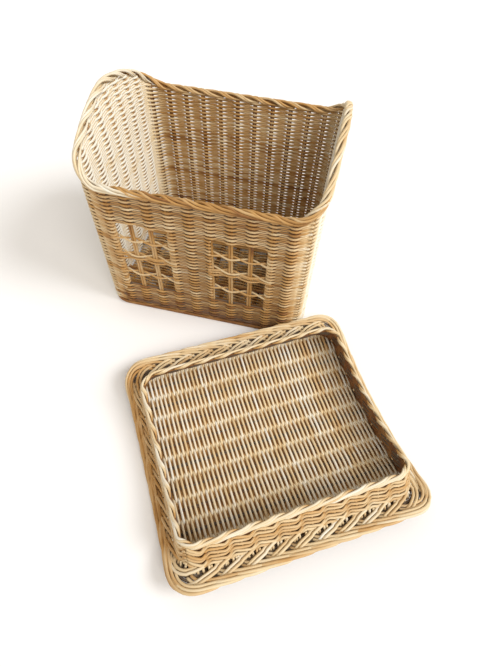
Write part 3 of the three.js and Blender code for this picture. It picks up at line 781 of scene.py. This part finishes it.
class TOYBASKET_OT_base(BasketOperator):
    """Weave the flat base, over and under the long stakes and between the cross stakes"""

    bl_idname = "toybasket.base"
    bl_label = "Base"

    def execute(self, context):
        size, shape, finish = self.setup(context)
        strands = Strands()
        half_x, half_y = size["base_length"] / 2 - BASE_EDGE, size["base_depth"] / 2 - BASE_EDGE
        radius = size["corner_radius"] - BASE_EDGE
        reach = size["stake_reed"] / 2 + size["weaver"] / 2 * FLAT
        outermost = size["rim_depth"] / 2 - size["corner_radius"] - size["stake_inset"]
        outermost = outermost * size["base_depth"] / size["rim_depth"]
        cross = np.linspace(-outermost, outermost, CROSS_STAKES)
        stake_gap = shape.pitch * size["base_length"] / size["rim_length"]
        rows = np.arange(-half_y + 1.6, half_y, BASE_PITCH)
        for number, y in enumerate(rows):
            if min(abs(y - c) for c in cross) < size["stake_reed"] + size["weaver"] / 2:
                continue
            beyond = max(abs(y) - (half_y - radius), 0)
            end = half_x - radius + math.sqrt(max(radius ** 2 - beyond ** 2, 1))
            x = np.linspace(-end, end, int(end / 1.7))
            rng = draws("base", number)
            place = (x - shape.stations[REPEATED] + shape.lengths[0] / 2) / stake_gap
            swing = reach * np.cos(math.pi * (place + number)) * np.clip((end - np.abs(x)) / 6, 0.2, 1)
            line = np.stack([x, y + wander(rng, x / 30, ROW_SWAY), LONG_LAYER + swing], 1)
            tone = np.clip(TONES["base"] + rng.normal(0, 0.1), 0, 1)
            strands.add(line, size["weaver"] / 2, tone, (0, 0, 1), flat=FLAT, start=any_start(rng))
        place_piece(strands, "base_strands", finish, "tan_rattan", "basket", "base_weave")
        return {"FINISHED"}


class TOYBASKET_OT_transoms(BasketOperator):
    """Weave the cross strands of both windows, single ones above and below and a band in the middle"""

    bl_idname = "toybasket.transoms"
    bl_label = "Window transoms"

    def execute(self, context):
        size, shape, finish = self.setup(context)
        pane = (size["window_height"] - 2 * THIN_TRANSOM - BROAD_TRANSOM) / 4
        low = size["sill_height"] + pane + THIN_TRANSOM / 2
        middle = low + pane + (THIN_TRANSOM + BROAD_TRANSOM) / 2
        high = middle + pane + (THIN_TRANSOM + BROAD_TRANSOM) / 2
        for (first, last), side in zip(WINDOWS, ("left", "right")):
            for number, level in ((1, low), (2, middle), (3, high)):
                strands = Strands(8)
                broad = number == 2
                self.twine(strands, shape, first, last, level + TWINE_RISE if broad else level)
                for course in range(3 if broad else 0):
                    height = level - COURSE_DROP + COURSE_PITCH * course
                    self.course(strands, shape, first, last, height, course)
                node = f"{side}_window_transom_{number}"
                place_piece(strands, f"{node}_strands", finish, "tan_rattan", "basket", node)
        return {"FINISHED"}

    def places(self, first, last):
        """Places along a transom, from one side stake to the other."""
        return np.linspace(first - TRANSOM_END, last + TRANSOM_END, ROW_SAMPLES * (last - first) + 1)

    def twine(self, strands, shape, first, last, level):
        """Two strands twisted round the bars. They start higher at the left and end lower at the right."""
        s = self.places(first, last)
        for way, tone in ((1, TONES["front twine"]), (-1, TONES["back twine"])):
            rng = draws("twine", int(level) + first + way)
            swing = way * np.cos(math.pi * (s - first))
            slope = 2.6 * eased(1 - (s - first)) - 1.8 * eased(s - last + 1)
            height = level + slope + 1.1 * swing + wander(rng, s, 0.3)
            points, outward = shape.wall(s, height, -3.4 * swing)
            strands.add(points, RADII["twine"], tone, outward, start=any_start(rng))

    def course(self, strands, shape, first, last, level, parity):
        """One plain row through the window's bars."""
        rng = draws("course", int(level) + first)
        s = self.places(first, last)
        out = 3.5 * np.cos(math.pi * (s - first + parity))
        points, outward = shape.wall(s, level + wander(rng, s, 0.3), out)
        strands.add(points, RADII["course"], TONES["course"], outward, flat=FLAT, start=any_start(rng))


class TOYBASKET_OT_rim(BasketOperator):
    """Roll the border round the mouth: every stake's pair of reeds winds over the rim and ends outside"""

    bl_idname = "toybasket.rim"
    bl_label = "Rim border"

    def execute(self, context):
        size, shape, finish = self.setup(context)
        strands = Strands()
        radius = size["border_reed"] / 2
        for stake in range(STAKES):
            rng = draws("rim", stake)
            run = RIM_RUN + rng.uniform(-0.2, 0.2)
            # The side's tone is painted light and shade
            side_tone = next(tone for end, tone in RIM_TONES if stake < end)
            for way in (-1, 1):
                t = np.linspace(0, 1, 26)
                s = stake - 0.2 + run * t
                # From low inside, quickly up over the top, then slowly down the outside, in degrees
                over = 250 - 150 * eased(t / 0.52) - 150 * t
                turn = np.radians(over + way * (12 + 13 * np.sin(math.pi * t)) + wander(rng, t * 9, 4))
                lift = 2.9 + 2.3 * np.sin(math.pi * t)
                middle, outward = shape.wall(s, shape.rim_height(s), 0.0)
                along = np.gradient(middle, axis=0)
                along /= np.linalg.norm(along, axis=1, keepdims=True)
                upward = np.cross(outward, along)
                aside = np.cos(turn)[:, None] * outward + np.sin(turn)[:, None] * upward
                thin = radius * (1 - 0.6 * eased((t - 0.84) / 0.16)) * (0.7 + 0.3 * eased(t / 0.2))
                # Painted shade: each reed darkens as it runs down the outside of the roll
                tone = np.clip(side_tone + rng.normal(0, 0.07) + 0.14 * eased((t - 0.35) / 0.5), 0, 1)
                strands.add(middle + lift[:, None] * aside, thin, tone, aside, start=any_start(rng))
        place_piece(strands, "rim_border_strands", finish, "border_rattan", "basket", "rim_border")
        return {"FINISHED"}


# Lid pieces


class LidShape:
    """Where the lid's strands run: x along its barrel, arc across it and height off the panel's middle."""

    def __init__(self, size):
        self.size = size
        low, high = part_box("lid_outer_rim")
        self.centre = ((low.x + high.x) / 2 / MM, (low.y + high.y) / 2 / MM)
        self.turn = math.radians(LID_TURN)
        self.axis_height = size["curve_radius"] + size["thickness"] / 2
        self.lengths = ring_lengths(size["half_length"], size["half_arc"], size["corner_radius"])
        self.periods = 2 * round(self.lengths.sum() / COLLAR_PITCH / 2)
        self.period = self.lengths.sum() / self.periods

    def at(self, x, arc, height):
        """Points in the basket's frame, as the lid lies beside it with its open side up."""
        x, arc, height = np.broadcast_arrays(np.asarray(x, float), arc, height)
        size = self.size
        angle = arc / size["curve_radius"]
        reach = size["curve_radius"] - height
        y, z = reach * np.sin(angle), self.axis_height - reach * np.cos(angle)
        c, s = math.cos(self.turn), math.sin(self.turn)
        return np.stack([self.centre[0] + x * c - y * s, self.centre[1] + x * s + y * c, z], -1)

    def round_collar(self, u, out, height, eave=0.0):
        """Points round the collar at period u. out is in millimetres, eave a share of the eave's reach."""
        size = self.size
        u, out, height, eave = np.broadcast_arrays(np.asarray(u, float), out, height, eave)
        lean = size["collar_taper"] * height / size["collar_height"]
        lean = np.where(eave > 0.3, 0.0, lean)
        ring = (u * self.period, self.lengths, size["half_length"], size["half_arc"], size["corner_radius"])
        # The angle comes first, because the eave reaches farther at its corners
        _, _, angle = along_ring(*ring, 0, 0)
        out = out + EAVE_CORNER * eave * np.sin(2 * angle) ** 2
        x, arc, _ = along_ring(*ring, out + eave * size["eave_side"] - SIDE_LEAN * lean,
                               out + eave * size["eave_front"] - lean)
        points = self.at(x, arc, height)
        outward = self.at(x + np.cos(angle), arc + np.sin(angle), height) - points
        return points, outward

    def sides(self):
        """The collar's four walls, from mid corner to mid corner, in periods."""
        half_corner = self.lengths[1] / 2
        walls = self.lengths[::2] + 2 * half_corner
        stops = np.cumsum([-half_corner, *walls]) / self.period
        return dict(zip(("front", "right", "back", "left"), zip(stops[:-1], stops[1:])))


class LidOperator(bpy.types.Operator):
    """Shared by the operators that weave a part of the lid"""

    bl_options = {"REGISTER", "UNDO"}

    def setup(self, context):
        size = in_millimetres(context.scene.toy_basket_lid_sizes)
        return size, LidShape(size), materials(context)


class TOYBASKET_OT_lid_panel(LidOperator):
    """Weave the lid's curved panel over and under its nine stakes"""

    bl_idname = "toybasket.lid_panel"
    bl_label = "Lid panel"

    def execute(self, context):
        size, lid, finish = self.setup(context)
        radius = size["corner_radius"] - PANEL_EDGE
        half_x, half_arc = size["half_length"] - PANEL_EDGE, size["half_arc"] - PANEL_EDGE
        reach = size["thickness"] / 2 - size["weaver"] / 2 * PANEL_FLAT
        stake_radius = min(reach - size["weaver"] / 2 * PANEL_FLAT, 1.9)
        strands = Strands()
        rows = np.arange(-half_x + 1.5, half_x - 1, size["weaver_pitch"])
        for number, x in enumerate(rows):
            rng = draws("panel", number)
            beyond = max(abs(x) - (half_x - radius), 0)
            end = half_arc - radius + math.sqrt(max(radius ** 2 - beyond ** 2, 1))
            arc = np.linspace(-end, end, int(2 * end / size["stake_pitch"] * ROW_SAMPLES))
            u = arc / size["stake_pitch"]
            wave = np.tanh(1.4 * np.cos(math.pi * (u + number))) / math.tanh(1.4)
            height = reach * wave * np.clip((end - np.abs(arc)) / 8, 0.3, 1)
            line = lid.at(x + wander(rng, u, 0.28), arc, height)
            up = lid.at(x, arc, height + 1) - lid.at(x, arc, height)
            joint = rng.uniform(-end, end)
            first, second = np.clip(TONES["panel"] + rng.normal(0, 0.08, 2), 0, 1.1)
            # Painted shade: a weaver darkens where it dips under a stake
            tone = np.where(arc < joint, first, second) + UNDER_SHADE * eased((-0.1 - wave) / 0.7)
            weaver = size["weaver"] / 2 * rng.uniform(0.93, 1.03)
            strands.add(line, weaver, tone, up, flat=PANEL_FLAT, start=any_start(rng))
            # Dark cores under the gaps between the weavers: painted shade that hides the floor
            arc = np.linspace(-end + 2, end - 2, 24)
            up = lid.at(x, arc, 0.0) - lid.at(x, arc, -1.0)
            core = lid.at(x + size["weaver_pitch"] / 2, arc, PANEL_CORE_HEIGHT)
            strands.add(core, RADII["panel core"], TONES["panel core"], up)
        place_piece(strands, "lid_panel_strands", finish, "pale_rattan", "lid", "lid_panel_weave")
        for number in range(LID_STAKES):
            arc = (number - (LID_STAKES - 1) / 2) * size["stake_pitch"]
            beyond = max(abs(arc) + 4 - (half_arc - radius), 0)
            end = half_x - radius + math.sqrt(max(radius ** 2 - beyond ** 2, 1))
            x = np.linspace(-end, end, 12)
            line = lid.at(x, arc, 0.0)
            sideways = lid.at(0, arc + 1, 0.0) - lid.at(0, arc, 0.0)
            node = f"lid_stake_{number + 1}"
            rng = draws("panel stake", number)
            reeds = Strands(8)
            # The panel's stakes take the darkest tone, as painted shade between the weavers
            reed_pair(reeds, line, sideways, stake_radius, TONES["panel stake"], rng)
            place_piece(reeds, f"{node}_reeds", finish, "pale_rattan", "lid", node)
        return {"FINISHED"}


def wale_offsets(phase, lift):
    """A rod of a three rod wale: in front of two stakes, higher at the second, then behind the third."""
    phase = np.mod(phase, 3)
    out = 1 - 2 * eased(1.3 - np.abs(phase - 2.5) / 0.55) - 0.5 * eased(1 - np.abs(phase - 1) / 0.5)
    height = eased((phase - 0.68) / 0.64) - eased((phase - 2.1) / 0.8) - 0.5
    return out, lift * height


class TOYBASKET_OT_lid_collar(LidOperator):
    """Weave the lid's collar from rows of three rods, with its rolled edge and the stubs at its foot"""

    bl_idname = "toybasket.lid_collar"
    bl_label = "Lid collar"

    def execute(self, context):
        _, lid, finish = self.setup(context)
        for side, (start, stop) in lid.sides().items():
            strands = Strands()
            u = np.linspace(start, stop, int((stop - start) * ROW_SAMPLES))
            for row in range(3):
                self.wale(strands, lid, u, COLLAR_FOOT + COLLAR_ROW * row, 3 * row)
            self.core(strands, lid, start, stop)
            self.uprights(strands, lid, start, stop)
            self.free_edge(strands, lid, start, stop)
            self.stubs(strands, lid, start, stop)
            node = f"lid_collar_{side}"
            place_piece(strands, f"{node}_strands", finish, "pale_rattan", "lid", node)
        return {"FINISHED"}

    def wale(self, strands, lid, u, level, first_rod):
        """Three rods that climb over each other in turn, each in front of two stakes and behind one."""
        for rod in range(3):
            rng = draws("rod", first_rod + rod)
            out, step = wale_offsets(u - rod, COLLAR_LIFT)
            sag = np.sin(2 * math.pi * u) + 0.3 * np.sin(4 * math.pi * u)
            height = level + step + 2.3 * sag + wander(rng, u, 0.6)
            points, outward = lid.round_collar(u, 2.7 * out, height)
            # Painted shade: a rod darkens where it passes behind a stake
            tone = np.clip(TONES["rod"] + rng.normal(0, 0.1) + 0.6 * np.clip(0.4 - out, 0, 1), 0, 1.2)
            radius = lid.size["rod"] / 2 * rng.uniform(0.94, 1.05)
            strands.add(points, radius, tone, outward, start=any_start(rng))

    def core(self, strands, lid, start, stop):
        """Straight strands behind the rods, that close the gaps between them. Their dark tone is painted
        shade.
        """
        u = np.linspace(start, stop, int((stop - start) * 6))
        for height in np.arange(-2.2, 40, COLLAR_CORE_PITCH):
            points, outward = lid.round_collar(u, -1.6 if height > 5 else -2.4, height)
            strands.add(points, RADII["collar core"], TONES["collar core"], outward, flat=0.7)

    def stakes(self, start, stop):
        """Numbers of the collar's stakes between two places, each half a period past its number."""
        return range(math.ceil(start - 0.5), math.floor(stop - 0.5) + 1)

    def uprights(self, strands, lid, start, stop):
        """The collar's own stakes, mostly hidden among the rods."""
        for stake in self.stakes(start, stop):
            height = np.linspace(-2, 41, 5)
            points, outward = lid.round_collar(np.full(5, stake + 0.5), 0.2, height)
            strands.add(points, RADII["upright"], TONES["upright"], outward)

    def free_edge(self, strands, lid, start, stop):
        """Pairs of reeds rolled over the free edge, one pair from each stake."""
        for stake in self.stakes(start, stop):
            rng = draws("free edge", stake % lid.periods)
            for way in (-1, 1):
                t = np.linspace(0, 1, 22)
                turn = np.radians(-50 + 120 * t + 150 * eased((t - 0.55) / 0.45) + way * 25)
                lift = 1.4 + 1.5 * np.sin(math.pi * t) ** 0.7
                u = stake + 0.3 + 2.3 * t
                height = EDGE_HEIGHT + 1.2 * lift * np.sin(turn) - EDGE_DIP * (1 - eased(t / 0.35))
                out = lift * np.cos(turn) - 2 * (1 - eased(t / 0.12))
                points, outward = lid.round_collar(u, out, height)
                thin = RADII["free edge"] * (1 - 0.5 * eased((t - 0.85) / 0.15))
                # Painted shade: each reed darkens where it rolls in under the edge
                tone = TONES["free edge"] + rng.normal(0, 0.09) + 0.4 * eased((t - 0.7) / 0.3)
                tone = np.clip(tone, 0, 1)
                strands.add(points, thin, tone, outward, start=any_start(rng))

    def stubs(self, strands, lid, start, stop):
        """Short reed ends that stand in the gap between the collar and the plait."""
        count = int((stop - start) * lid.period / STUB_PITCH)
        rng = draws("stub", int(start * 10))
        for share in (np.arange(count) + 0.5) / count:
            u = start + (stop - start) * share + rng.normal(0, 0.03)
            tilt = rng.normal(0, 0.05)
            t = np.linspace(0, 1, 4)
            points, outward = lid.round_collar(u + tilt * t, 5.4 - 2.4 * t, -2.2 + 8.4 * t)
            tone = np.clip(TONES["stub"] + rng.normal(0, 0.1), 0, 1)
            strands.add(points, RADII["stub"], tone, outward, start=any_start(rng))


# The way of the border's reeds: stakes along the collar, share of the eave's reach, height off the panel
DIAGONAL = (
    (0.34, 0.02, 7.0), (0.14, 0.13, 6.6), (-0.24, 0.33, 4.8), (-0.64, 0.52, 2.6), (-0.90, 0.65, 0.0),
    (-1.06, 0.74, -1.8), (-1.16, 0.80, -2.2),
)
BINDING = (
    (-1.16, 0.36, -1.6), (-0.98, 0.52, -0.9), (-0.74, 0.68, 0.2), (-0.42, 0.81, 1.4), (0.02, 0.91, 2.2),
    (0.56, 0.98, 1.8), (1.10, 1.03, 0.6), (1.50, 1.01, -1.2), (1.80, 0.93, -2.2),
)


class TOYBASKET_OT_lid_border(LidOperator):
    """Plait the lid's border: pairs of reeds run out from the collar, turn back and bind the outer rim"""

    bl_idname = "toybasket.lid_border"
    bl_label = "Lid border"

    def execute(self, context):
        _, lid, finish = self.setup(context)
        plait, rim = Strands(), Strands()
        left_start, left_stop = lid.sides()["left"]
        for stake in range(lid.periods):
            # Painted shade on the left side of the lid's border, away from the light
            painted_shade = LEFT_SHADE if left_start < stake + 0.5 < left_stop else 0.0
            self.pair(plait, lid, stake, DIAGONAL, "plait", painted_shade)
            self.pair(rim, lid, stake, BINDING, "binding", painted_shade)
        u = np.linspace(0, lid.periods, lid.periods * 6 + 1)
        # Strands that lie round under the plait and the rim, dark below the plait's gaps as painted shade
        bedding = [(plait, eave, -2.1, "under the plait") for eave in np.linspace(0.0, 0.84, 7)]
        bedding += [(rim, 0.96, -2.2, "under the rim"), (rim, 1.04, -2.1, "under the rim")]
        for strands, eave, height, kind in bedding:
            points, outward = lid.round_collar(u, 0.0, height, eave)
            strands.add(points, RADII["bedding"], TONES[kind], outward)
        place_piece(plait, "lid_border_plait", finish, "border_rattan", "lid", "lid_border")
        place_piece(rim, "lid_outer_rim_strands", finish, "border_rattan", "lid", "lid_outer_rim")
        return {"FINISHED"}

    def pair(self, strands, lid, stake, controls, kind, painted_shade):
        """Two reeds side by side from one stake, on a smooth way through the controls to a thin end."""
        radius = lid.size["plait_reed"] / 2
        rng = draws(kind, stake)
        controls = np.array(controls) + rng.normal(0, 1, (len(controls), 3)) * (0.02, 0.008, 0.25)
        u, eave, height = through(controls, 4).T
        middle, _ = lid.round_collar(stake + 0.5 + u, 0.0, height, eave)
        up = middle - lid.round_collar(stake + 0.5 + u, 0.0, height - 1, eave)[0]
        along = np.gradient(middle, axis=0)
        sideways = np.cross(up, along)
        sideways /= np.linalg.norm(sideways, axis=1, keepdims=True)
        apart = np.linspace(1.25, 1.0, len(u))[:, None]
        for way in (-1, 1):
            thin = np.full(len(u), radius)
            thin[-3:] *= (0.9, 0.75, 0.55)
            shade = np.clip(TONES[kind] + painted_shade + rng.normal(0, 0.08), 0, 1)
            line = middle + way * radius * apart * sideways
            strands.add(line, thin, shade, up, start=any_start(rng))


# Floor, light and camera


class TOYBASKET_OT_stage(bpy.types.Operator):
    """Set up the plain floor, the soft studio light and the camera"""

    bl_idname = "toybasket.stage"
    bl_label = "Stage"

    def execute(self, context):
        bpy.ops.object.select_all(action="DESELECT")
        bpy.ops.mesh.primitive_plane_add(size=8.0, location=(0, 0, 0))
        floor = context.object
        floor.name = "floor"
        plain = bpy.data.materials.new("Plain floor")
        plain.use_nodes = True
        surface = plain.node_tree.nodes["Principled BSDF"]
        surface.inputs["Base Color"].default_value = context.scene.toy_basket_colours.floor
        surface.inputs["Roughness"].default_value = 0.9
        surface.inputs["Specular IOR Level"].default_value = 0.0
        floor.data.materials.append(plain)
        self.light()
        self.camera(context)
        return {"FINISHED"}

    def light(self):
        """Two broad lamps, and a world that lights warmly but looks white."""
        lamps = (
            ("key light from the right", (0, 47, -3), 1.85, (1.0, 0.99, 0.97), 24),
            ("soft light from the front right", (43, 0, 40), 1.05, (1.0, 0.96, 0.90), 28),
        )
        for name, rotation, energy, tint, width in lamps:
            bpy.ops.object.light_add(type="SUN", rotation=[math.radians(a) for a in rotation])
            lamp = bpy.context.object
            lamp.name = name
            lamp.data.energy = energy
            lamp.data.color = tint
            lamp.data.angle = math.radians(width)
        world = bpy.data.worlds.new("White studio")
        bpy.context.scene.world = world
        world.use_nodes = True
        tree = world.node_tree
        tree.nodes.clear()
        path = add_node(tree, "ShaderNodeLightPath")
        seen = path.outputs["Is Camera Ray"]
        for ray in ("Is Glossy Ray", "Is Transmission Ray"):
            both = add_node(tree, "ShaderNodeMath", {0: seen, 1: path.outputs[ray]}, operation="MAXIMUM")
            seen = both.outputs[0]
        soft = add_node(tree, "ShaderNodeBackground", {"Color": (1.0, 0.92, 0.81, 1), "Strength": 0.60})
        white = add_node(tree, "ShaderNodeBackground", {"Color": (1, 1, 1, 1), "Strength": 1.0})
        mix = add_node(tree, "ShaderNodeMixShader", {0: seen, 1: soft.outputs[0], 2: white.outputs[0]})
        add_node(tree, "ShaderNodeOutputWorld", {"Surface": mix.outputs[0]})

    def camera(self, context):
        """The photograph's view: down by the pitch, turned left by the yaw and tilted by the roll."""
        yaw, pitch, roll = (math.radians(a) for a in (CAMERA_YAW, CAMERA_PITCH, CAMERA_ROLL))
        level = np.array([-math.sin(yaw), math.cos(yaw), 0.0])
        forward = math.cos(pitch) * level - math.sin(pitch) * np.array([0.0, 0.0, 1.0])
        right = np.array([math.cos(yaw), math.sin(yaw), 0.0])
        down = np.cross(forward, right)
        side = math.cos(roll) * right - math.sin(roll) * down
        up = -(math.sin(roll) * right + math.cos(roll) * down)
        bpy.ops.object.camera_add(location=CAMERA_PLACE)
        camera = context.object
        camera.name = "photo view"
        matrix = camera.matrix_world.copy()
        for i in range(3):
            matrix[i][0], matrix[i][1], matrix[i][2] = side[i], up[i], -forward[i]
        camera.matrix_world = matrix
        camera.data.sensor_width = SENSOR
        camera.data.lens = FOCAL_PIXELS / PHOTO_HEIGHT_PIXELS * SENSOR
        context.scene.camera = camera
        context.scene.view_settings.view_transform = "Standard"


class TOYBASKET_PT_sidebar(bpy.types.Panel):
    """Lists the settings and the steps"""

    bl_idname = "TOYBASKET_PT_sidebar"
    bl_label = "Toy basket"
    bl_space_type = "VIEW_3D"
    bl_region_type = "UI"
    bl_category = "Toy basket"

    def draw(self, context):
        scene = context.scene
        for group in (scene.toy_basket_sizes, scene.toy_basket_lid_sizes, scene.toy_basket_colours):
            box = self.layout.box()
            for name in group.__annotations__:
                box.prop(group, name)
        for operator in OPERATORS:
            self.layout.operator(operator.bl_idname)


OPERATORS = (
    TOYBASKET_OT_walls,
    TOYBASKET_OT_stakes,
    TOYBASKET_OT_base,
    TOYBASKET_OT_transoms,
    TOYBASKET_OT_rim,
    TOYBASKET_OT_lid_panel,
    TOYBASKET_OT_lid_collar,
    TOYBASKET_OT_lid_border,
    TOYBASKET_OT_stage,
)
CLASSES = (ToyBasketSizes, ToyBasketLidSizes, ToyBasketColours) + OPERATORS + (TOYBASKET_PT_sidebar,)


def register():
    for cls in CLASSES:
        bpy.utils.register_class(cls)
    bpy.types.Scene.toy_basket_sizes = bpy.props.PointerProperty(type=ToyBasketSizes)
    bpy.types.Scene.toy_basket_lid_sizes = bpy.props.PointerProperty(type=ToyBasketLidSizes)
    bpy.types.Scene.toy_basket_colours = bpy.props.PointerProperty(type=ToyBasketColours)


def unregister():
    del bpy.types.Scene.toy_basket_colours
    del bpy.types.Scene.toy_basket_lid_sizes
    del bpy.types.Scene.toy_basket_sizes
    for cls in reversed(CLASSES):
        bpy.utils.unregister_class(cls)


def main():
    register()
    bpy.ops.toybasket.walls()
    bpy.ops.toybasket.stakes()
    bpy.ops.toybasket.base()
    bpy.ops.toybasket.transoms()
    bpy.ops.toybasket.rim()
    bpy.ops.toybasket.lid_panel()
    bpy.ops.toybasket.lid_collar()
    bpy.ops.toybasket.lid_border()
    bpy.ops.toybasket.stage()


if __name__ == "__main__":
    main()
